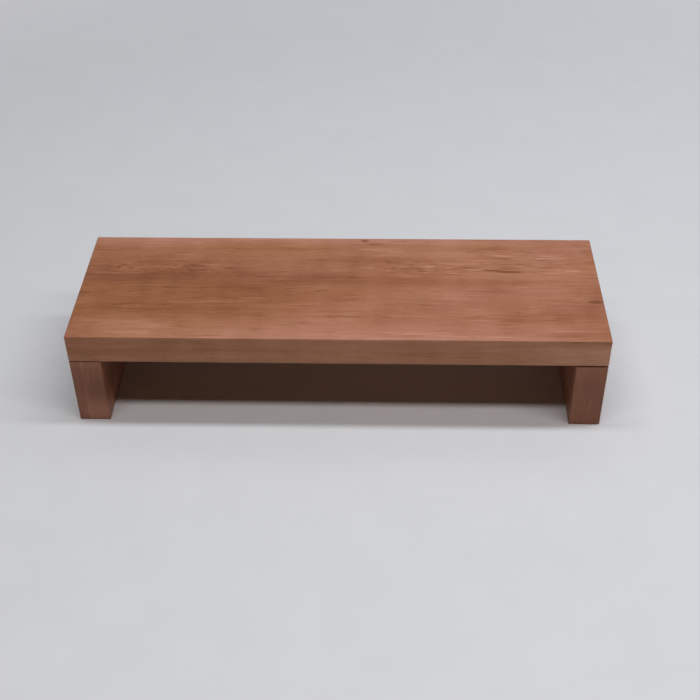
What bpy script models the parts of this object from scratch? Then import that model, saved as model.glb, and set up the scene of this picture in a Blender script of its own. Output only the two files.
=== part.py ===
"""Low wooden display riser: a thick board on a leg at each end, joined with hidden fluted dowels.

Lengths are in metres, +Z is up and -Y is the front.
The origin lies on the counter, under the middle of the board.
"""
import math

import bmesh
import bpy

# Board and legs
STAND_LENGTH = 0.305          # over both ends of the board, along X
STAND_DEPTH = 0.100           # board and legs end flush at the front and at the back
BOARD_THICKNESS = 0.018
LEG_THICKNESS = 0.018
LEG_HEIGHT = 0.044
EDGE_EASE = 0.0005            # radius that sandpaper leaves on the edges
EASE_STEPS = 3

# Glued joint between the board and a leg
GLUE_GAP = 0.0003             # between a leg's top end and the underside of the board
DOWEL_DIAMETER = 0.008
DOWEL_LENGTH = 0.030
DOWEL_CHAMFER = 0.0008
DOWEL_SIDE_ROOM = 0.0002      # between a dowel and the wall of its hole
DOWEL_END_ROOM = 0.0006       # left for glue past each end of a dowel
DOWEL_EDGE_DISTANCE = 0.018   # from the front or back of a leg to the nearest dowel's middle
WOOD_OVER_DOWEL = 0.0065      # solid wood between a hole's end and the display surface
FLUTE_COUNT = 12
FLUTE_DEPTH = 0.0004
FLUTE_LAND = 0.6              # share of a flute's pitch that stays round
HOLE_SIDES = 48

# Finish
BOARD_COLOUR = "9F6B50"
LEG_COLOUR = "8C5A43"
DOWEL_COLOUR = "CDAC82"
OILED_ROUGHNESS = 0.45
RAW_ROUGHNESS = 0.75
SMOOTH_ANGLE = math.radians(30)

# Heights and places that follow from the sizes above
BOARD_UNDERSIDE = LEG_HEIGHT + GLUE_GAP
DISPLAY_SURFACE = BOARD_UNDERSIDE + BOARD_THICKNESS
HOLE_TOP = DISPLAY_SURFACE - WOOD_OVER_DOWEL
DOWEL_TOP = HOLE_TOP - DOWEL_END_ROOM
DOWEL_BOTTOM = DOWEL_TOP - DOWEL_LENGTH
HOLE_BOTTOM = DOWEL_BOTTOM - DOWEL_END_ROOM
DOWEL_RADIUS = DOWEL_DIAMETER / 2
OUTER_DOWEL = STAND_DEPTH / 2 - DOWEL_EDGE_DISTANCE
LEG_OFFSET = (STAND_LENGTH - LEG_THICKNESS) / 2
LEG_PLACES = {"left": -LEG_OFFSET, "right": LEG_OFFSET}
DOWEL_PLACES = {"front": -OUTER_DOWEL, "middle": 0.0, "back": OUTER_DOWEL}


def clear_scene():
    for old in list(bpy.data.objects):
        bpy.data.objects.remove(old, do_unlink=True)


def linear_colour(srgb_hex):
    """A six-digit sRGB colour as linear red, green, blue and a full alpha."""
    channels = [int(srgb_hex[i:i + 2], 16) / 255 for i in (0, 2, 4)]
    linear = [c / 12.92 if c <= 0.04045 else ((c + 0.055) / 1.055) ** 2.4 for c in channels]
    return (*linear, 1.0)


def wood(name, srgb_hex, roughness):
    material = bpy.data.materials.new(name)
    material.use_nodes = True
    shader = material.node_tree.nodes["Principled BSDF"]
    shader.inputs["Base Color"].default_value = linear_colour(srgb_hex)
    shader.inputs["Roughness"].default_value = roughness
    shader.inputs["Metallic"].default_value = 0.0
    return material


def place(name, shape, location, riser):
    """Turn a bmesh into an object that stands at location on the riser."""
    mesh = bpy.data.meshes.new(name)
    shape.to_mesh(mesh)
    shape.free()
    piece = bpy.data.objects.new(name, mesh)
    piece.location = location
    piece.parent = riser
    bpy.context.scene.collection.objects.link(piece)
    return piece


def shade_round(piece):
    piece.data.shade_smooth()
    piece.data.set_sharp_from_angle(angle=SMOOTH_ANGLE)


def planed_board(name, size, location, riser, glued_top=False):
    """A squared piece of timber with eased edges; a glued top end keeps its edges sharp."""
    shape = bmesh.new()
    bmesh.ops.create_cube(shape, size=1.0)
    bmesh.ops.scale(shape, vec=size, verts=shape.verts)
    eased = shape.edges.layers.float.new("bevel_weight_edge")
    for edge in shape.edges:
        on_top = all(corner.co.z > 0.0 for corner in edge.verts)
        edge[eased] = 0.0 if glued_top and on_top else 1.0
    piece = place(name, shape, location, riser)
    ease = piece.modifiers.new("eased_edges", 'BEVEL')
    ease.width = EDGE_EASE
    ease.segments = EASE_STEPS
    ease.limit_method = 'WEIGHT'
    return piece


def dowel_holes(name, x, riser):
    """The round cutters that drill one leg and the board above it in line."""
    depth = HOLE_TOP - HOLE_BOTTOM
    wall = DOWEL_RADIUS + DOWEL_SIDE_ROOM
    corner_radius = wall / math.cos(math.pi / HOLE_SIDES)
    shape = bmesh.new()
    for y in DOWEL_PLACES.values():
        hole = bmesh.ops.create_cone(
            shape, cap_ends=True, segments=HOLE_SIDES,
            radius1=corner_radius, radius2=corner_radius, depth=depth)
        bmesh.ops.translate(shape, vec=(0.0, y, 0.0), verts=hole["verts"])
    cutter = place(name, shape, (x, 0.0, HOLE_BOTTOM + depth / 2), riser)
    shade_round(cutter)
    cutter.hide_render = True
    cutter.display_type = 'WIRE'
    return cutter


def drill(piece, holes):
    cut = piece.modifiers.new(holes.name, 'BOOLEAN')
    cut.operation = 'DIFFERENCE'
    cut.solver = 'EXACT'
    cut.object = holes


def dowel_outline():
    """Radius and angle of each corner round a fluted dowel."""
    corners = []
    groove = (1 + FLUTE_LAND) / 2
    for flute in range(FLUTE_COUNT):
        for share, depth in ((0.0, 0.0), (FLUTE_LAND, 0.0), (groove, FLUTE_DEPTH)):
            corners.append((DOWEL_RADIUS - depth, math.tau * (flute + share) / FLUTE_COUNT))
    return corners


def fluted_dowel(name, location, riser):
    """A straight-fluted dowel with chamfered ends, standing on its lower end."""
    shape = bmesh.new()
    outline = dowel_outline()
    stations = (
        (0.0, DOWEL_CHAMFER),
        (DOWEL_CHAMFER, 0.0),
        (DOWEL_LENGTH - DOWEL_CHAMFER, 0.0),
        (DOWEL_LENGTH, DOWEL_CHAMFER),
    )
    rings = []
    for height, inset in stations:
        rings.append([
            shape.verts.new(((r - inset) * math.cos(a), (r - inset) * math.sin(a), height))
            for r, a in outline])
    for lower, upper in zip(rings, rings[1:]):
        for i in range(len(outline)):
            j = (i + 1) % len(outline)
            shape.faces.new((lower[i], lower[j], upper[j], upper[i]))
    shape.faces.new(list(reversed(rings[0])))
    shape.faces.new(rings[-1])
    piece = place(name, shape, location, riser)
    shade_round(piece)
    return piece


def build():
    clear_scene()
    riser = bpy.data.objects.new("display_riser", None)
    bpy.context.scene.collection.objects.link(riser)

    board_middle = BOARD_UNDERSIDE + BOARD_THICKNESS / 2
    board_size = (STAND_LENGTH, STAND_DEPTH, BOARD_THICKNESS)
    board = planed_board("top_board", board_size, (0.0, 0.0, board_middle), riser)
    board.data.materials.append(wood("top_board_wood", BOARD_COLOUR, OILED_ROUGHNESS))

    leg_size = (LEG_THICKNESS, STAND_DEPTH, LEG_HEIGHT)
    for side, x in LEG_PLACES.items():
        leg_middle = (x, 0.0, LEG_HEIGHT / 2)
        leg = planed_board(f"{side}_leg", leg_size, leg_middle, riser, glued_top=True)
        leg.data.materials.append(wood(f"{side}_leg_wood", LEG_COLOUR, OILED_ROUGHNESS))
        holes = dowel_holes(f"{side}_dowel_holes", x, riser)
        drill(leg, holes)
        drill(board, holes)
        for row, y in DOWEL_PLACES.items():
            name = f"{side}_dowel_{row}"
            dowel = fluted_dowel(name, (x, y, DOWEL_BOTTOM), riser)
            dowel.data.materials.append(wood(f"{name}_wood", DOWEL_COLOUR, RAW_ROUGHNESS))


build()
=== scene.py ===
"""Looks of the wooden display riser: three oiled boards with eased edges, on a pale counter.

The frame is in metres. Figure, shades and marks in the oiled wood are given in millimetres.
"""
import math
from typing import NamedTuple

import bpy
from mathutils import Matrix, Vector


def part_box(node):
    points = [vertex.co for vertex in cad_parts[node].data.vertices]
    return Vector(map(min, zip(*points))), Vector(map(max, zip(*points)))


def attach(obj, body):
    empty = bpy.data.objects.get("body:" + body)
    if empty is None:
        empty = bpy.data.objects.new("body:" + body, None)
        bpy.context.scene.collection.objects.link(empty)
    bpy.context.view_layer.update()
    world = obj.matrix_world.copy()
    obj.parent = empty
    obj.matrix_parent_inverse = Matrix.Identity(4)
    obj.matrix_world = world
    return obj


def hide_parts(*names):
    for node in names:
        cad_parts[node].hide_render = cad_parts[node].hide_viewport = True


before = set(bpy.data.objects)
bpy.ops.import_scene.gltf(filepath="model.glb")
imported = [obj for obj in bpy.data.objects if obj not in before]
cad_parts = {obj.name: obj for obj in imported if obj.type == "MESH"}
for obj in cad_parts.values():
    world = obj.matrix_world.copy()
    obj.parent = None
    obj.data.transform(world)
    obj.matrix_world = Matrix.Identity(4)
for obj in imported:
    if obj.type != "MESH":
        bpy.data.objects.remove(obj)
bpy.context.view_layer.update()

MM = 0.001

# Camera, fitted to the corners of the board and legs
CAMERA_PLACE = (0.0259, -0.5606, 0.4724)
CAMERA_YAW = math.radians(-2.07)
CAMERA_PITCH = math.radians(39.27)
CAMERA_ROLL = math.radians(0.80)
CAMERA_LENS = 60.8
SENSOR_WIDTH = 36.0

# Lamps and room
LAMP_DISTANCE = 1.6
LAMP_LENGTH = 2.4
LAMP_SIDESTEP = 0.5
ROOM_LIGHT = 0.034
ROOM_COLOUR = "FFDF94"
BACKDROP = "CDCCD1"

# Counter
COUNTER_HALF = 4.0
COUNTER_FADE = (0.40, 0.90)
COUNTER_TONES = ("CDCED3", "D3D4D9")
CLOUDS_PER_METRE = 30.0
CLOUD_DETAIL = 3.0
COUNTER_ROUGHNESS = 0.6
COUNTER_SPECULAR = 0.2

# Shape of the boards
EASE = 0.5 * MM
EASE_STEPS = 4
CELL = 3.0 * MM
RUB_DEPTH = 0.25 * MM
RUB_PATCH = 14 * MM
RUB_DETAIL = 2.0
HOLLOW_DEPTH = 0.06 * MM
HOLLOW_PATCH = 60 * MM
HOLLOW_DETAIL = 1.0
SHARP_ANGLE = math.radians(35)
RIGHT_JOINT_OPENING = 0.5 * MM

# Dowel holes
HOLE_ROWS_X = 2
HOLE_ROWS_Y = 3
HOLE_SIDES = 48
HOLE_SIDE_ROOM = 0.2 * MM
HOLE_END_ROOM = 0.6 * MM

# Raw beech, whose flecks and fibres run along the dowels
BEECH_TONES = ("A98355", "C09A6B", "CDAC82", "DABD96", "E3CBA8")
RAY_FLECK_WIDTH = 0.5 * MM
RAY_FLECK_LENGTH = 3 * MM
RAY_FLECK_RIM = (0.15, 0.35)
RAY_FLECK_TONE = -0.35
BEECH_FIBRE_WIDTH = 0.7 * MM
BEECH_FIBRE_LENGTH = 12 * MM
BEECH_FIBRE_DETAIL = 2.0
RAW_ROUGHNESS = 0.75
RAW_RELIEF = 0.05 * MM
RAW_RELIEF_STRENGTH = 0.3
BEECH_IOR = 1.5


class Lamp(NamedTuple):
    """A lamp along X. Height is its angle up from the front: past 90 degrees it hangs behind the riser."""
    name: str
    height: float
    width: float
    power: float
    colour: str


class Figure(NamedTuple):
    """A layer of streaks in the wood: their length and width along and across the grain, in millimetres.

    Weight is how far the layer shifts the wood's tone or colour, or how many millimetres it bends it.
    """
    length: float
    width: float
    weight: float
    detail: float


class Patch(NamedTuple):
    """An oval part of the wood: its middle and half sizes, what it adds, and the share that fades out."""
    middle: tuple
    half: tuple
    tone: float
    fade: float = 0.85


class Stock(NamedTuple):
    """A planed mahogany board: its material, a record slot that is not used, its look, and where in the
    log it was cut.

    The seed is for its rubbed edges and hollows, and the colours go from dark to pale. Level and contrast
    set the mean tone and the strength of figure, and edge calm is what streaks lose on a narrow edge.
    Turn and shift take a place on the riser to its place in the log, where the grain runs along X.
    Each of the waves pairs a figure of wavy fibres with the zones that show it.
    """
    wood: str
    slot: str
    seed: float
    golden: tuple
    rosy: tuple
    level: float
    contrast: float
    turn: tuple
    shift: tuple
    shades: tuple
    marks: tuple = ()
    blushes_and_sheen: tuple = ()
    waves: tuple = ()
    edge_calm: float = 0.0


# Two long strip lamps overhead, and a broad dim panel high up behind the riser
LAMPS = (
    Lamp("back_strip", height=math.radians(91.8), width=0.13, power=18.6, colour="F5FBFF"),
    Lamp("front_strip", height=math.radians(69.7), width=0.23, power=19.2, colour="FFFAF5"),
    Lamp("rear_panel", height=math.radians(120), width=1.1, power=6.1, colour="F5FBFF"),
)

# Figure of the mahogany
GROWTH_RINGS = Figure(length=320, width=5.5, weight=0.50, detail=3)
END_RINGS = Figure(length=320, width=1.7, weight=0.55, detail=1)
MOTTLE = Figure(length=18, width=24, weight=0.30, detail=1)
RIBBONS = Figure(length=50, width=2.2, weight=0.42, detail=3)
FIBRES = Figure(length=14, width=0.9, weight=0.45, detail=2)
FLECKS = Figure(length=13, width=1.4, weight=0.20, detail=1)
CURLS = Figure(length=5.0, width=1.4, weight=0.22, detail=2)
BLUSH = Figure(length=70, width=22, weight=0.90, detail=1)
BLUSH_LEVEL = 0.5
GLINT_RANGE = (0.35, 0.65)

# Bends of the grain and of the shades, and the pith that the growth rings lie round
WANDER = Figure(length=110, width=40, weight=7.0, detail=2)
RAGGED = Figure(length=16, width=1.8, weight=5.0, detail=2)
RAG_STRETCH = 3
SHADE_BEND = (0, 6, 0)
PITH_DEPTH = 105
PITH_SIDE = -16

# Streaks gather in places: their share goes from the least one up to this figure's weight
GATHERED = Figure(length=26, width=5.0, weight=1.7, detail=1)
GATHER_LEAST = 0.25
GATHER_RANGE = (0.42, 0.66)

# Pores, end grain and rubbed edges
PORE_LENGTH = 7.0
PORE_WIDTH = 0.9
PORE_RIM = (0.10, 0.30)
PORE_TONE = -0.16
FACING_RANGE = (0.6, 0.95)
END_GRAIN_TONE = -0.16
END_GRAIN_CALM = -0.75
ARRIS_TONE = 0.10

# Sheen and relief of the oiled surface
OILED_ROUGHNESS = 0.44
PORE_DULLING = 0.20
END_GRAIN_DULLING = 0.15
OILED_RELIEF = 0.06 * MM
OILED_RELIEF_STRENGTH = 0.35
OILED_IOR = 1.48
OILED_SPECULAR = 0.25

# Broad shades in the top board, paler above 0, most of them right through it; some are painted sheen and
# painted light along its front and back edges
THROUGH = 1000           # half size of a patch that goes right through the wood
BOARD_SHADES_AND_PAINTED_LIGHT = (
    Patch(middle=(-122, 0, 53), half=(205, 46, THROUGH), tone=-0.30),
    Patch(middle=(-92, 7, 53), half=(160, 12, THROUGH), tone=-0.08),
    Patch(middle=(-106, -25, 53), half=(90, 10, THROUGH), tone=-0.14, fade=0.5),
    Patch(middle=(12, 26, 53), half=(48, 7, THROUGH), tone=-0.18),
    Patch(middle=(30, 7, 53), half=(95, 10, THROUGH), tone=-0.16),
    Patch(middle=(98, 5, 53), half=(36, 7, THROUGH), tone=-0.14),
    Patch(middle=(48, 35, 53), half=(55, 8, THROUGH), tone=0.15),
    Patch(middle=(52, -9, 53), half=(48, 12, THROUGH), tone=0.12),
    Patch(middle=(126, -25, 53), half=(50, 15, THROUGH), tone=-0.17),
    Patch(middle=(-115, 0, 62), half=(9, 26, 9), tone=-0.06),
    # Paler along the front of the top: partly paler wood, partly painted sheen
    Patch(middle=(22, -46, 64), half=(165, 17, 9), tone=0.17),
    Patch(middle=(-150, -40, 64), half=(36, 18, 9), tone=-0.20),
    Patch(middle=(142, -46, 64), half=(38, 12, 9), tone=-0.14),
    Patch(middle=(152, -8, 64), half=(18, 60, 9), tone=-0.11),
    # Painted sheen: paler along the back edge of the top
    Patch(middle=(0, 50, 64), half=(260, 9, 9), tone=0.10),
    Patch(middle=(-127, 46, 64), half=(60, 14, 9), tone=0.11),
    # Painted light: the whole front edge of the board paler, as if more light fell on it; darker and paler
    # spots along it follow
    Patch(middle=(80, -52, 51), half=(400, 8, 14), tone=0.24),
    Patch(middle=(45, -52, 51), half=(70, 8, 14), tone=-0.10),
    Patch(middle=(152, -52, 51), half=(75, 8, 14), tone=0.20),
    Patch(middle=(-152, -52, 47), half=(26, 8, 12), tone=0.12),
)

# Gum streaks and small pale or dark marks on its upper face
BOARD_MARKS = (
    Patch(middle=(101, 15.7, 62), half=(12, 1.5, 3), tone=-0.80),
    Patch(middle=(91, 16.8, 62), half=(9, 1.1, 3), tone=-0.50),
    Patch(middle=(96, 31, 62), half=(12, 1.2, 3), tone=0.35),
    Patch(middle=(139, 16.5, 62), half=(10, 1.2, 3), tone=0.22),
    Patch(middle=(14, 47.4, 62), half=(4, 1.8, 3), tone=-0.55),
    Patch(middle=(20, 44, 62), half=(8, 1.4, 3), tone=-0.30),
    Patch(middle=(17, 38, 62), half=(9, 1.3, 3), tone=0.30),
    Patch(middle=(148, -14.5, 62), half=(7, 2.0, 3), tone=-0.45),
    Patch(middle=(138, -15, 62), half=(12, 1.4, 3), tone=-0.20),
    Patch(middle=(-84, -12.8, 62), half=(11, 1.0, 3), tone=-0.30),
    Patch(middle=(-63, -12.4, 62), half=(10, 0.9, 3), tone=-0.20),
    Patch(middle=(-11, -4.8, 62), half=(8, 1.0, 3), tone=-0.35),
    Patch(middle=(-66, 16.7, 62), half=(5, 1.2, 3), tone=-0.28),
)

# Golden heart and rosy outer wood, rosier above 0; the rosy band along the top's back edge is painted
# sheen, and the one along its front edge partly
BOARD_BLUSHES_AND_SHEEN = (
    Patch(middle=(-110, -14, 53), half=(130, 36, THROUGH), tone=-0.50),
    Patch(middle=(-60, 38, 53), half=(80, 14, THROUGH), tone=-0.30),
    # Rosier along the front of the top: partly the wood, partly painted sheen
    Patch(middle=(30, -44, 64), half=(220, 16, 9), tone=0.35),
    Patch(middle=(0, -52, 50), half=(400, 8, 14), tone=-0.65),
    Patch(middle=(110, -10, 53), half=(100, 45, THROUGH), tone=0.20),
    # Painted sheen: rosier and greyer along the back edge and at its right-hand end
    Patch(middle=(20, 50, 64), half=(260, 10, 9), tone=0.60),
    Patch(middle=(135, 40, 64), half=(50, 22, 9), tone=0.50),
    Patch(middle=(130, -52, 50), half=(60, 8, 14), tone=-0.50),
)

# Zones where wavy fibres show as short flecks, and small spots where they curl across the board
FLECK_ZONES = (
    Patch(middle=(56, 18, 62), half=(45, 12, 12), tone=1.0),
    Patch(middle=(120, 25, 62), half=(55, 17, 12), tone=1.0),
    Patch(middle=(-100, 19, 62), half=(65, 12, 12), tone=0.4),
)
CURL_ZONES = (
    Patch(middle=(-131, 17.5, 62), half=(21, 8, 12), tone=1.0),
    Patch(middle=(-96, 16.5, 62), half=(22, 7, 12), tone=1.1),
    Patch(middle=(38, 19, 62), half=(40, 8, 12), tone=0.8),
)

# Shades that run through the legs from front to back; the left leg's paler foot is painted light and its
# darker middle painted shade
LEFT_LEG_LIGHT_AND_SHADE = (
    Patch(middle=(-139, 0, 3), half=(16, THROUGH, 16), tone=0.28),
    Patch(middle=(-139, 0, 25), half=(16, THROUGH, 15), tone=-0.16),
    Patch(middle=(-143, 0, 43), half=(40, THROUGH, 6), tone=0.14),
)
RIGHT_LEG_SHADES = (
    Patch(middle=(143, 0, 40), half=(20, THROUGH, 15), tone=0.09),
    Patch(middle=(146, 0, 18), half=(30, THROUGH, 26), tone=-0.06),
)

# The three boards; the legs are cut from a darker, plainer length than the top
GRAIN_ALONG = (0, 0, 0)
GRAIN_UPRIGHT = (0, math.pi / 2, 0)
LEG_GOLDEN = ("553523", "734932", "8B5A40", "9B6B51", "A97C64")
LEG_ROSY = ("563526", "744937", "8C5946", "9D6A58", "AB7B6B")
TOP_BOARD = Stock(
    wood="oiled_mahogany_board", slot="board_wood", seed=1.0,
    golden=("764423", "8E5936", "9F6C4B", "AF7B5E", "BE8B72"),
    rosy=("76432B", "905941", "A26C55", "B37D6A", "C28D7E"),
    level=0.55, contrast=1.1, turn=GRAIN_ALONG, shift=(40, 7, -53),
    shades=BOARD_SHADES_AND_PAINTED_LIGHT, marks=BOARD_MARKS, blushes_and_sheen=BOARD_BLUSHES_AND_SHEEN,
    waves=((FLECKS, FLECK_ZONES), (CURLS, CURL_ZONES)), edge_calm=-0.5,
)
LEFT_LEG = Stock(
    wood="oiled_mahogany_left_leg", slot="leg_wood", seed=2.0, golden=LEG_GOLDEN, rosy=LEG_ROSY,
    level=0.56, contrast=0.7, turn=GRAIN_UPRIGHT, shift=(310, 12, 60), shades=LEFT_LEG_LIGHT_AND_SHADE,
)
RIGHT_LEG = Stock(
    wood="oiled_mahogany_right_leg", slot="leg_wood", seed=3.0, golden=LEG_GOLDEN, rosy=LEG_ROSY,
    level=0.56, contrast=0.7, turn=GRAIN_UPRIGHT, shift=(620, -25, 45), shades=RIGHT_LEG_SHADES,
)


def linear(srgb_hex):
    """A six-digit sRGB colour as linear red, green, blue and a full alpha."""
    channels = [int(srgb_hex[i:i + 2], 16) / 255 for i in (0, 2, 4)]
    return (*[c / 12.92 if c <= 0.04045 else ((c + 0.055) / 1.055) ** 2.4 for c in channels], 1.0)


def add(tree, kind, inputs=None, **settings):
    """Add a node. Its inputs are values, sockets, or nodes that give their first output."""
    made = tree.nodes.new(kind)
    for name, value in settings.items():
        setattr(made, name, value)
    for key, value in (inputs or {}).items():
        if isinstance(value, bpy.types.Node):
            value = value.outputs[0]
        if isinstance(value, bpy.types.NodeSocket):
            tree.links.new(value, made.inputs[key])
        else:
            made.inputs[key].default_value = value
    return made


def blank_material(name):
    material = bpy.data.materials.new(name)
    material.use_nodes = True
    material.node_tree.nodes.clear()
    return material, material.node_tree


def eased_board_tree():
    """A squared board on a grid of cells whose outer cells turn round the eased edges."""
    tree = bpy.data.node_groups.new("eased_board", "GeometryNodeTree")
    sockets = {
        "NodeSocketVector": ("Size", "Middle", "Hole Middle"),
        "NodeSocketFloat": (
            "Sawn Top", "Ease", "Cell", "Rub Depth", "Rub Patch", "Hollow Depth", "Hollow Patch", "Seed",
            "Hole Spread X", "Hole Spread Y", "Hole Radius", "Hole Depth"),
        "NodeSocketMaterial": ("Wood",),
    }
    for kind, names in sockets.items():
        for name in names:
            tree.interface.new_socket(name=name, in_out='INPUT', socket_type=kind)
    tree.interface.new_socket(name="Board", in_out='OUTPUT', socket_type="NodeSocketGeometry")
    given = add(tree, "NodeGroupInput").outputs

    # A block of unit cells: flat cells in the middle, and the steps of the easing at every edge
    half = add(tree, "ShaderNodeVectorMath", {0: given["Size"], "Scale": 0.5}, operation='SCALE')
    flat = add(tree, "ShaderNodeVectorMath", {0: half, 1: given["Ease"]}, operation='SUBTRACT')
    shares = add(tree, "ShaderNodeVectorMath", {0: flat, 1: given["Cell"]}, operation='DIVIDE')
    cells = add(tree, "ShaderNodeVectorMath", {0: shares}, operation='CEIL')
    reach = add(tree, "ShaderNodeVectorMath", {0: cells, 1: (EASE_STEPS,) * 3}, operation='ADD')
    span = add(tree, "ShaderNodeVectorMath", {0: reach, "Scale": 2.0}, operation='SCALE')
    counts = add(tree, "ShaderNodeVectorMath", {0: span, 1: (1, 1, 1)}, operation='ADD')
    count = add(tree, "ShaderNodeSeparateXYZ", {0: counts}).outputs
    block = add(tree, "GeometryNodeMeshCube", {
        "Size": span, "Vertices X": count["X"], "Vertices Y": count["Y"], "Vertices Z": count["Z"]})

    # Flat cells spread over the faces, and the outer steps turn through 45 degrees to each edge
    place = add(tree, "GeometryNodeInputPosition")
    steps = add(tree, "ShaderNodeVectorMath", {0: place}, operation='ABSOLUTE')
    side = add(tree, "ShaderNodeVectorMath", {0: place}, operation='SIGN')
    inner = add(tree, "ShaderNodeVectorMath", {0: steps, 1: cells}, operation='MINIMUM')
    share = add(tree, "ShaderNodeVectorMath", {0: inner, 1: cells}, operation='DIVIDE')
    spread = add(tree, "ShaderNodeVectorMath", {0: share, 1: flat}, operation='MULTIPLY')
    seat = add(tree, "ShaderNodeVectorMath", {
        0: spread, 1: side, 2: given["Middle"]}, operation='MULTIPLY_ADD')
    past = add(tree, "ShaderNodeVectorMath", {0: steps, 1: inner}, operation='SUBTRACT')
    angle = add(tree, "ShaderNodeVectorMath", {
        0: past, "Scale": math.pi / 4 / EASE_STEPS}, operation='SCALE')
    lean = add(tree, "ShaderNodeVectorMath", {0: angle}, operation='TANGENT')
    aim = add(tree, "ShaderNodeVectorMath", {0: lean, 1: side}, operation='MULTIPLY')
    outward = add(tree, "ShaderNodeVectorMath", {0: aim}, operation='NORMALIZE')

    # Sandpaper rubs the edges unevenly, and the faces are a touch hollow in places
    outward_size = add(tree, "ShaderNodeVectorMath", {0: outward}, operation='ABSOLUTE')
    corner = add(tree, "ShaderNodeVectorMath", {0: outward_size, 1: (1, 1, 1)}, operation='DOT_PRODUCT')
    arris = add(tree, "ShaderNodeMath", {0: corner.outputs["Value"], 1: 1.0}, operation='SUBTRACT')
    rub_place = add(tree, "ShaderNodeVectorMath", {0: seat, 1: given["Rub Patch"]}, operation='DIVIDE')
    rub = add(tree, "ShaderNodeTexNoise", {
        "Vector": rub_place, "W": given["Seed"], "Scale": 1.0, "Detail": RUB_DETAIL},
        noise_dimensions='4D')
    rubbed = add(tree, "ShaderNodeMath", {0: rub, 1: arris}, operation='MULTIPLY')
    rub_loss = add(tree, "ShaderNodeMath", {0: rubbed, 1: given["Rub Depth"]}, operation='MULTIPLY')
    hollow_place = add(tree, "ShaderNodeVectorMath", {
        0: seat, 1: given["Hollow Patch"]}, operation='DIVIDE')
    hollow = add(tree, "ShaderNodeTexNoise", {
        "Vector": hollow_place, "W": given["Seed"], "Scale": 1.0, "Detail": HOLLOW_DETAIL},
        noise_dimensions='4D')
    loss = add(tree, "ShaderNodeMath", {
        0: hollow, 1: given["Hollow Depth"], 2: rub_loss}, operation='MULTIPLY_ADD')
    height = add(tree, "ShaderNodeMath", {0: given["Ease"], 1: loss}, operation='SUBTRACT')
    lift = add(tree, "ShaderNodeVectorMath", {0: outward, "Scale": height}, operation='SCALE')
    surface = add(tree, "ShaderNodeVectorMath", {0: seat, 1: lift}, operation='ADD')

    # A glued end is sawn off square, and each point keeps how far it lies on an edge
    at = add(tree, "ShaderNodeSeparateXYZ", {0: surface}).outputs
    sawn = add(tree, "ShaderNodeMath", {0: at["Z"], 1: given["Sawn Top"]}, operation='MINIMUM')
    final = add(tree, "ShaderNodeCombineXYZ", {"X": at["X"], "Y": at["Y"], "Z": sawn})
    eased = add(tree, "GeometryNodeSetPosition", {"Geometry": block, "Position": final})
    marked = add(tree, "GeometryNodeStoreNamedAttribute", {
        "Geometry": eased, "Name": "arris", "Value": arris}, data_type='FLOAT', domain='POINT')

    # Dowel holes, drilled in line through the legs' tops and the underside of the board
    pattern = add(tree, "GeometryNodeMeshGrid", {
        "Size X": given["Hole Spread X"], "Size Y": given["Hole Spread Y"],
        "Vertices X": HOLE_ROWS_X, "Vertices Y": HOLE_ROWS_Y})
    drill = add(tree, "GeometryNodeMeshCylinder", {
        "Vertices": HOLE_SIDES, "Radius": given["Hole Radius"], "Depth": given["Hole Depth"]})
    drills = add(tree, "GeometryNodeInstanceOnPoints", {"Points": pattern, "Instance": drill})
    set_drills = add(tree, "GeometryNodeTransform", {
        "Geometry": drills, "Translation": given["Hole Middle"]})
    solid_drills = add(tree, "GeometryNodeRealizeInstances", {"Geometry": set_drills})
    bored = add(tree, "GeometryNodeMeshBoolean", {
        "Mesh 1": marked, "Mesh 2": solid_drills}, operation='DIFFERENCE')

    # Eased edges are shaded round, and sawn and drilled ones stay crisp
    smooth = add(tree, "GeometryNodeSetShadeSmooth", {"Geometry": bored, "Shade Smooth": True})
    fold = add(tree, "GeometryNodeInputMeshEdgeAngle")
    sharp = add(tree, "FunctionNodeCompare", {0: fold, 1: SHARP_ANGLE}, operation='GREATER_THAN')
    crisp = add(tree, "GeometryNodeSetShadeSmooth", {
        "Geometry": smooth, "Selection": sharp, "Shade Smooth": False}, domain='EDGE')
    joined = add(tree, "GeometryNodeRealizeInstances", {"Geometry": crisp})
    oiled = add(tree, "GeometryNodeSetMaterial", {"Geometry": joined, "Material": given["Wood"]})
    add(tree, "NodeGroupOutput", {"Board": oiled})
    return tree


def hole_sizes():
    """The dowel holes' inputs, from the two dowels at opposite corners of the pattern."""
    front_low, front_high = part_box("left_dowel_front")
    back_low, back_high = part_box("right_dowel_back")
    first = (front_low + front_high) / 2
    last = (back_low + back_high) / 2
    wall = (front_high.x - front_low.x) / 2 + HOLE_SIDE_ROOM
    return {
        "Hole Spread X": last.x - first.x,
        "Hole Spread Y": last.y - first.y,
        "Hole Middle": (first + last) / 2,
        "Hole Radius": wall / math.cos(math.pi / HOLE_SIDES),
        "Hole Depth": front_high.z - front_low.z + 2 * HOLE_END_ROOM,
    }


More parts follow.
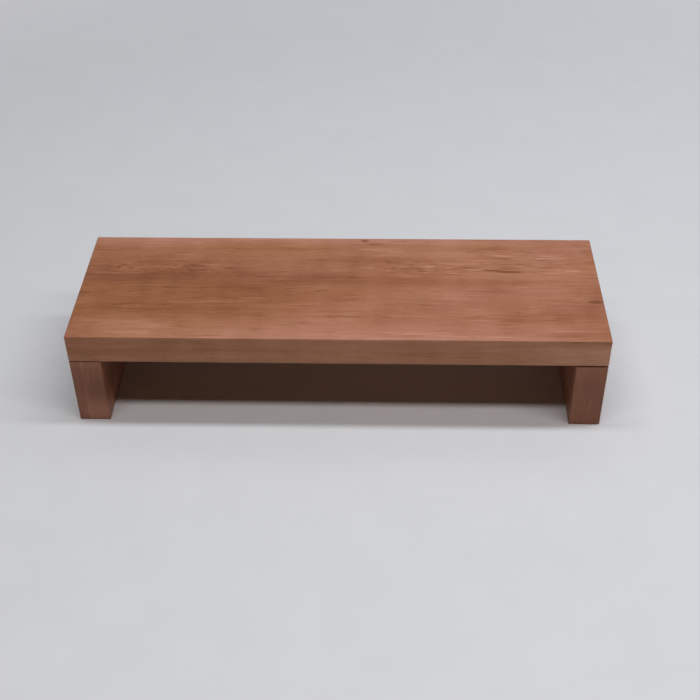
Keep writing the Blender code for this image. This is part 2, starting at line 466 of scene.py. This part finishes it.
def make_board(name, node, tree, stock, sawn_top=False, opening=0.0):
    """Grow one board in its solid's place, and keep it as a plain mesh.

    A sawn top end has sharp edges, and opening is how far it stays short of a tight joint.
    """
    low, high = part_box(node)
    # A board with a sawn end starts longer, so that the saw takes its eased edges off
    grown_top = high.z + EASE if sawn_top else high.z
    values = {
        "Size": Vector((high.x - low.x, high.y - low.y, grown_top - low.z)),
        "Middle": Vector(((low.x + high.x) / 2, (low.y + high.y) / 2, (low.z + grown_top) / 2)),
        "Sawn Top": high.z - opening,
        "Ease": EASE,
        "Cell": CELL,
        "Rub Depth": RUB_DEPTH,
        "Rub Patch": RUB_PATCH,
        "Hollow Depth": HOLLOW_DEPTH,
        "Hollow Patch": HOLLOW_PATCH,
        "Seed": stock.seed,
        "Wood": oiled_mahogany(stock),
        **hole_sizes(),
    }
    piece = bpy.data.objects.new(name, bpy.data.meshes.new(name))
    bpy.context.scene.collection.objects.link(piece)
    grow = piece.modifiers.new("eased_board", 'NODES')
    grow.node_group = tree
    for socket in tree.interface.items_tree:
        if socket.in_out == 'INPUT':
            grow[socket.identifier] = values[socket.name]
    grown = piece.evaluated_get(bpy.context.evaluated_depsgraph_get())
    shape = bpy.data.meshes.new_from_object(grown)
    piece.modifiers.clear()
    piece.data = shape
    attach(piece, "root")
    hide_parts(node)


def streaks(tree, place, figure):
    """Noise drawn out to a figure's length along the grain and its width across it."""
    per_mm = (1 / figure.length, 1 / figure.width, 1 / figure.width)
    scaled = add(tree, "ShaderNodeVectorMath", {0: place, 1: per_mm}, operation='MULTIPLY')
    return add(tree, "ShaderNodeTexNoise", {"Vector": scaled, "Scale": 1.0, "Detail": figure.detail})


def push(tree, place, figure):
    """A figure's noise as a push to either side along each axis, half a unit at most."""
    noise = streaks(tree, place, figure)
    return add(tree, "ShaderNodeVectorMath", {
        0: noise.outputs["Color"], 1: (0.5, 0.5, 0.5)}, operation='SUBTRACT')


def soft_oval(tree, place, patch):
    """How far inside a patch a place lies: 1 in its heart, 0 past its rim."""
    oval = add(tree, "ShaderNodeMapping", {
        "Vector": place, "Location": patch.middle, "Scale": patch.half}, vector_type='TEXTURE')
    away = add(tree, "ShaderNodeVectorMath", {0: oval}, operation='LENGTH')
    return add(tree, "ShaderNodeMapRange", {
        "Value": away.outputs["Value"], "From Min": 1 - patch.fade, "From Max": 1.0,
        "To Min": 1.0, "To Max": 0.0}, interpolation_type='SMOOTHSTEP')


def patched(tree, place, patches, total):
    """The total with every patch added where it lies."""
    for patch in patches:
        inside = soft_oval(tree, place, patch)
        total = add(tree, "ShaderNodeMath", {
            0: inside, 1: patch.tone, 2: total}, operation='MULTIPLY_ADD')
    return total


def ring_place(tree, grain):
    """A place along and out from the pith under the board, so that ends show arcs and faces bands."""
    at = add(tree, "ShaderNodeSeparateXYZ", {0: grain}).outputs
    across = add(tree, "ShaderNodeMath", {0: at["Y"], 1: PITH_SIDE}, operation='SUBTRACT')
    above = add(tree, "ShaderNodeMath", {0: at["Z"], 1: -PITH_DEPTH}, operation='SUBTRACT')
    from_pith = add(tree, "ShaderNodeCombineXYZ", {"X": across, "Y": above})
    radius = add(tree, "ShaderNodeVectorMath", {0: from_pith}, operation='LENGTH')
    return add(tree, "ShaderNodeCombineXYZ", {"X": at["X"], "Y": radius.outputs["Value"]})


def square_on(tree, direction):
    """1 where a surface faces an axis or turns its back to it, and 0 where it lies along it."""
    size = add(tree, "ShaderNodeMath", {0: direction}, operation='ABSOLUTE')
    return add(tree, "ShaderNodeMapRange", {
        "Value": size, "From Min": FACING_RANGE[0], "From Max": FACING_RANGE[1]})


def glinting(tree, tone, grain, place, figure, zones):
    """The tone with wavy fibres that catch the light or lose it, in their zones."""
    glint = add(tree, "ShaderNodeMapRange", {
        "Value": streaks(tree, grain, figure), "From Min": GLINT_RANGE[0], "From Max": GLINT_RANGE[1],
        "To Min": -1.0, "To Max": 1.0})
    for zone in zones:
        inside = soft_oval(tree, place, zone)
        zone_glint = add(tree, "ShaderNodeMath", {0: inside, 1: glint}, operation='MULTIPLY')
        tone = add(tree, "ShaderNodeMath", {
            0: zone_glint, 1: zone.tone * figure.weight, 2: tone}, operation='MULTIPLY_ADD')
    return tone


def pores(tree, grain):
    """1 inside a pore. Drawn at twice the real width, to show as dashes on faces and dots on ends."""
    per_mm = (1 / PORE_LENGTH, 1 / PORE_WIDTH, 1 / PORE_WIDTH)
    scaled = add(tree, "ShaderNodeVectorMath", {0: grain, 1: per_mm}, operation='MULTIPLY')
    cells = add(tree, "ShaderNodeTexVoronoi", {"Vector": scaled, "Scale": 1.0})
    return add(tree, "ShaderNodeMapRange", {
        "Value": cells.outputs["Distance"], "From Min": PORE_RIM[0], "From Max": PORE_RIM[1],
        "To Min": 1.0, "To Max": 0.0})


def tone_ramp(tree, tone, tones):
    """Colours from the darkest tone, at 0, to the palest, at 1."""
    colour = add(tree, "ShaderNodeValToRGB", {"Fac": tone})
    steps = colour.color_ramp.elements
    while len(steps) < len(tones):
        steps.new(0.5)
    for i, srgb_hex in enumerate(tones):
        steps[i].position = i / (len(tones) - 1)
        steps[i].color = linear(srgb_hex)
    return colour


def oiled_mahogany(stock):
    """Mahogany, planed, sanded and oiled: golden to rosy brown bands and streaks along the grain,
    fine dark pores, and a soft satin sheen that is duller in the pores and on end grain."""
    material, tree = blank_material(stock.wood)
    where = add(tree, "ShaderNodeTexCoord").outputs
    in_mm = add(tree, "ShaderNodeMapping", {"Vector": where["Object"], "Scale": (1 / MM,) * 3})
    log = add(tree, "ShaderNodeMapping", {
        "Vector": in_mm, "Rotation": stock.turn, "Location": stock.shift})

    # The grain wanders a little to the side along the board
    sway = push(tree, log, WANDER)
    grain = add(tree, "ShaderNodeVectorMath", {
        0: sway, 1: (0, WANDER.weight, WANDER.weight), 2: log}, operation='MULTIPLY_ADD')

    # End grain drinks more oil and is darker, and cut fibres show there as calm dots
    normal = add(tree, "ShaderNodeMapping", {
        "Vector": where["Normal"], "Rotation": stock.turn}, vector_type='NORMAL')
    facing = add(tree, "ShaderNodeSeparateXYZ", {0: normal}).outputs
    end_grain = square_on(tree, facing["X"])
    calm = add(tree, "ShaderNodeMath", {
        0: end_grain, 1: END_GRAIN_CALM, 2: 1.0}, operation='MULTIPLY_ADD')
    tone = add(tree, "ShaderNodeMath", {
        0: end_grain, 1: END_GRAIN_TONE, 2: stock.level}, operation='MULTIPLY_ADD')

    # Streaks stand out in some places, nearly vanish in others, and are calmer on a narrow edge
    gathered = add(tree, "ShaderNodeMapRange", {
        "Value": streaks(tree, grain, GATHERED), "From Min": GATHER_RANGE[0], "From Max": GATHER_RANGE[1],
        "To Min": GATHER_LEAST, "To Max": GATHERED.weight})
    face_share = add(tree, "ShaderNodeMath", {0: calm, 1: gathered}, operation='MULTIPLY')
    edge_share = add(tree, "ShaderNodeMath", {
        0: square_on(tree, facing["Y"]), 1: stock.edge_calm, 2: 1.0}, operation='MULTIPLY_ADD')
    streak_share = add(tree, "ShaderNodeMath", {0: face_share, 1: edge_share}, operation='MULTIPLY')

    # Each layer of figure shifts the tone up or down
    rings = ring_place(tree, grain)
    fibres = streaks(tree, grain, FIBRES)
    layers = (
        (GROWTH_RINGS, streaks(tree, rings, GROWTH_RINGS), 1.0),
        (END_RINGS, streaks(tree, rings, END_RINGS), end_grain),
        (MOTTLE, streaks(tree, grain, MOTTLE), 1.0),
        (RIBBONS, streaks(tree, grain, RIBBONS), streak_share),
        (FIBRES, fibres, streak_share),
    )
    for figure, pattern, share in layers:
        weight = figure.weight * stock.contrast
        change = add(tree, "ShaderNodeMath", {
            0: pattern, 1: weight, 2: -weight / 2}, operation='MULTIPLY_ADD')
        tone = add(tree, "ShaderNodeMath", {0: change, 1: share, 2: tone}, operation='MULTIPLY_ADD')

    # Shades and marks bend with the grain, and the shades' rims are ragged along it
    bent = add(tree, "ShaderNodeVectorMath", {0: sway, 1: SHADE_BEND, 2: in_mm}, operation='MULTIPLY_ADD')
    torn = add(tree, "ShaderNodeVectorMath", {
        0: push(tree, grain, RAGGED), 1: (RAG_STRETCH * RAGGED.weight, RAGGED.weight, 0), 2: bent},
        operation='MULTIPLY_ADD')
    # The shades on the top board include painted sheen and painted light, and on the left leg painted
    # light and shade
    shade = patched(tree, torn, stock.shades, 0.0)
    shade = patched(tree, bent, stock.marks, shade)
    tone = add(tree, "ShaderNodeMath", {0: shade, 1: calm, 2: tone}, operation='MULTIPLY_ADD')
    for figure, zones in stock.waves:
        tone = glinting(tree, tone, grain, torn, figure, zones)

    # Pores are darker, and rubbed edges a little paler
    pore = pores(tree, grain)
    tone = add(tree, "ShaderNodeMath", {0: pore, 1: PORE_TONE, 2: tone}, operation='MULTIPLY_ADD')
    arris = add(tree, "ShaderNodeAttribute", attribute_name="arris").outputs["Fac"]
    tone = add(tree, "ShaderNodeMath", {0: arris, 1: ARRIS_TONE, 2: tone}, operation='MULTIPLY_ADD')

    # The wood drifts from golden to rosy in broad clouds along the grain, and painted sheen makes parts of
    # the top's edges rosier
    cloud = streaks(tree, grain, BLUSH)
    blush_and_sheen = add(tree, "ShaderNodeMath", {
        0: cloud, 1: BLUSH.weight, 2: BLUSH_LEVEL - BLUSH.weight / 2}, operation='MULTIPLY_ADD')
    blush_and_sheen = patched(tree, torn, stock.blushes_and_sheen, blush_and_sheen)
    golden = tone_ramp(tree, tone, stock.golden)
    rosy = tone_ramp(tree, tone, stock.rosy)
    colour = add(tree, "ShaderNodeMix", {"Factor": blush_and_sheen, "A": golden, "B": rosy}, data_type='RGBA')

    # The oil's sheen is duller in the pores and on end grain, and sanding leaves the fibres in relief
    dull = add(tree, "ShaderNodeMath", {
        0: pore, 1: PORE_DULLING, 2: OILED_ROUGHNESS}, operation='MULTIPLY_ADD')
    roughness = add(tree, "ShaderNodeMath", {
        0: end_grain, 1: END_GRAIN_DULLING, 2: dull}, operation='MULTIPLY_ADD')
    relief = add(tree, "ShaderNodeMath", {0: pore, 1: -1.0, 2: fibres}, operation='MULTIPLY_ADD')
    bump = add(tree, "ShaderNodeBump", {
        "Height": relief, "Strength": OILED_RELIEF_STRENGTH, "Distance": OILED_RELIEF})
    shader = add(tree, "ShaderNodeBsdfPrincipled", {
        "Base Color": colour.outputs["Result"], "Roughness": roughness, "Normal": bump,
        "IOR": OILED_IOR, "Specular IOR Level": OILED_SPECULAR})
    add(tree, "ShaderNodeOutputMaterial", {"Surface": shader})
    return material


def raw_beech():
    """Turned beech, left raw for glue: pale, even, with short brown ray flecks along the dowel."""
    material, tree = blank_material("raw_beech")
    where = add(tree, "ShaderNodeTexCoord").outputs["Object"]
    fleck_place = add(tree, "ShaderNodeMapping", {
        "Vector": where, "Scale": (1 / RAY_FLECK_WIDTH, 1 / RAY_FLECK_WIDTH, 1 / RAY_FLECK_LENGTH)})
    flecks = add(tree, "ShaderNodeTexVoronoi", {"Vector": fleck_place, "Scale": 1.0})
    fleck = add(tree, "ShaderNodeMapRange", {
        "Value": flecks.outputs["Distance"], "From Min": RAY_FLECK_RIM[0], "From Max": RAY_FLECK_RIM[1],
        "To Min": RAY_FLECK_TONE, "To Max": 0.0})
    fibre_place = add(tree, "ShaderNodeMapping", {
        "Vector": where, "Scale": (1 / BEECH_FIBRE_WIDTH, 1 / BEECH_FIBRE_WIDTH, 1 / BEECH_FIBRE_LENGTH)})
    fibres = add(tree, "ShaderNodeTexNoise", {
        "Vector": fibre_place, "Scale": 1.0, "Detail": BEECH_FIBRE_DETAIL})
    tone = add(tree, "ShaderNodeMath", {0: fibres, 1: fleck}, operation='ADD')
    colour = tone_ramp(tree, tone, BEECH_TONES)
    bump = add(tree, "ShaderNodeBump", {
        "Height": tone, "Strength": RAW_RELIEF_STRENGTH, "Distance": RAW_RELIEF})
    shader = add(tree, "ShaderNodeBsdfPrincipled", {
        "Base Color": colour, "Roughness": RAW_ROUGHNESS, "Normal": bump, "IOR": BEECH_IOR})
    add(tree, "ShaderNodeOutputMaterial", {"Surface": shader})
    return material


def seen_directly(tree):
    """1 where the camera sees a surface, straight on or in a reflection, and 0 for light that bounces."""
    ray = add(tree, "ShaderNodeLightPath").outputs
    clear = add(tree, "ShaderNodeMath", {
        0: ray["Is Glossy Ray"], 1: ray["Is Transmission Ray"]}, operation='MAXIMUM')
    return add(tree, "ShaderNodeMath", {0: ray["Is Camera Ray"], 1: clear}, operation='MAXIMUM')


def pale_laminate():
    """Matt laminate, pressed smooth: pale, faintly cloudy, and fading into the backdrop far away."""
    material, tree = blank_material("pale_laminate")
    where = add(tree, "ShaderNodeTexCoord").outputs["Object"]
    cloud = add(tree, "ShaderNodeTexNoise", {
        "Vector": where, "Scale": CLOUDS_PER_METRE, "Detail": CLOUD_DETAIL})
    colour = tone_ramp(tree, cloud, COUNTER_TONES)
    shader = add(tree, "ShaderNodeBsdfPrincipled", {
        "Base Color": colour, "Roughness": COUNTER_ROUGHNESS, "Specular IOR Level": COUNTER_SPECULAR})
    glow = add(tree, "ShaderNodeEmission", {"Color": linear(BACKDROP), "Strength": 1.0})
    away = add(tree, "ShaderNodeVectorMath", {0: where}, operation='LENGTH')
    fade = add(tree, "ShaderNodeMapRange", {
        "Value": away.outputs["Value"], "From Min": COUNTER_FADE[0], "From Max": COUNTER_FADE[1]},
        interpolation_type='SMOOTHSTEP')
    far = add(tree, "ShaderNodeMath", {0: fade, 1: seen_directly(tree)}, operation='MULTIPLY')
    surface = add(tree, "ShaderNodeMixShader", {"Fac": far, 1: shader, 2: glow})
    add(tree, "ShaderNodeOutputMaterial", {"Surface": surface})
    return material


def make_counter():
    """A pale counter that keeps the riser's shadow."""
    mesh = bpy.data.meshes.new("counter")
    corners = [(x * COUNTER_HALF, y * COUNTER_HALF, 0) for x, y in ((-1, -1), (1, -1), (1, 1), (-1, 1))]
    mesh.from_pydata(corners, [], [(0, 1, 2, 3)])
    mesh.materials.append(pale_laminate())
    counter = bpy.data.objects.new("counter", mesh)
    bpy.context.scene.collection.objects.link(counter)


def hang(lamp):
    """Hang a lamp so that it faces the riser from its angle, a little to the right."""
    light = bpy.data.lights.new(lamp.name, 'AREA')
    light.shape = 'RECTANGLE'
    light.size = LAMP_LENGTH
    light.size_y = lamp.width
    light.energy = lamp.power
    light.color = linear(lamp.colour)[:3]
    holder = bpy.data.objects.new(lamp.name, light)
    holder.visible_camera = False
    away = Vector((0, -math.cos(lamp.height), math.sin(lamp.height)))
    holder.rotation_euler = (-math.pi / 2 + lamp.height, 0, 0)
    holder.location = away * LAMP_DISTANCE + Vector((LAMP_SIDESTEP, 0, 0))
    bpy.context.scene.collection.objects.link(holder)


def make_room():
    """A dim even room light, and a pale backdrop where the camera looks past the counter."""
    world = bpy.data.worlds.new("room")
    world.use_nodes = True
    tree = world.node_tree
    tree.nodes.clear()
    dim = add(tree, "ShaderNodeBackground", {"Color": linear(ROOM_COLOUR), "Strength": ROOM_LIGHT})
    pale = add(tree, "ShaderNodeBackground", {"Color": linear(BACKDROP), "Strength": 1.0})
    mixed = add(tree, "ShaderNodeMixShader", {"Fac": seen_directly(tree), 1: dim, 2: pale})
    add(tree, "ShaderNodeOutputWorld", {"Surface": mixed})
    bpy.context.scene.world = world


def make_camera():
    """A camera at its fitted place, turned from looking straight down by pitch, yaw and roll."""
    camera = bpy.data.cameras.new("camera")
    camera.sensor_width = SENSOR_WIDTH
    camera.lens = CAMERA_LENS
    view = bpy.data.objects.new("camera", camera)
    turn = Matrix.Rotation(-CAMERA_YAW, 4, 'Z') @ Matrix.Rotation(math.pi / 2 - CAMERA_PITCH, 4, 'X')
    view.matrix_world = Matrix.Translation(CAMERA_PLACE) @ turn @ Matrix.Rotation(-CAMERA_ROLL, 4, 'Z')
    bpy.context.scene.collection.objects.link(view)
    bpy.context.scene.camera = view


def dress_riser():
    """Oiled boards in place of the solids' three boards, and raw beech on the dowels."""
    tree = eased_board_tree()
    make_board("oiled_top_board", "top_board", tree, TOP_BOARD)
    make_board("oiled_left_leg", "left_leg", tree, LEFT_LEG, sawn_top=True)
    make_board("oiled_right_leg", "right_leg", tree, RIGHT_LEG, sawn_top=True, opening=RIGHT_JOINT_OPENING)
    beech = raw_beech()
    for name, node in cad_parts.items():
        if "dowel" in name:
            node.material_slots[0].material = beech


make_camera()
make_counter()
for overhead in LAMPS:
    hang(overhead)
make_room()
dress_riser()
bpy.context.scene.view_settings.view_transform = 'Standard'
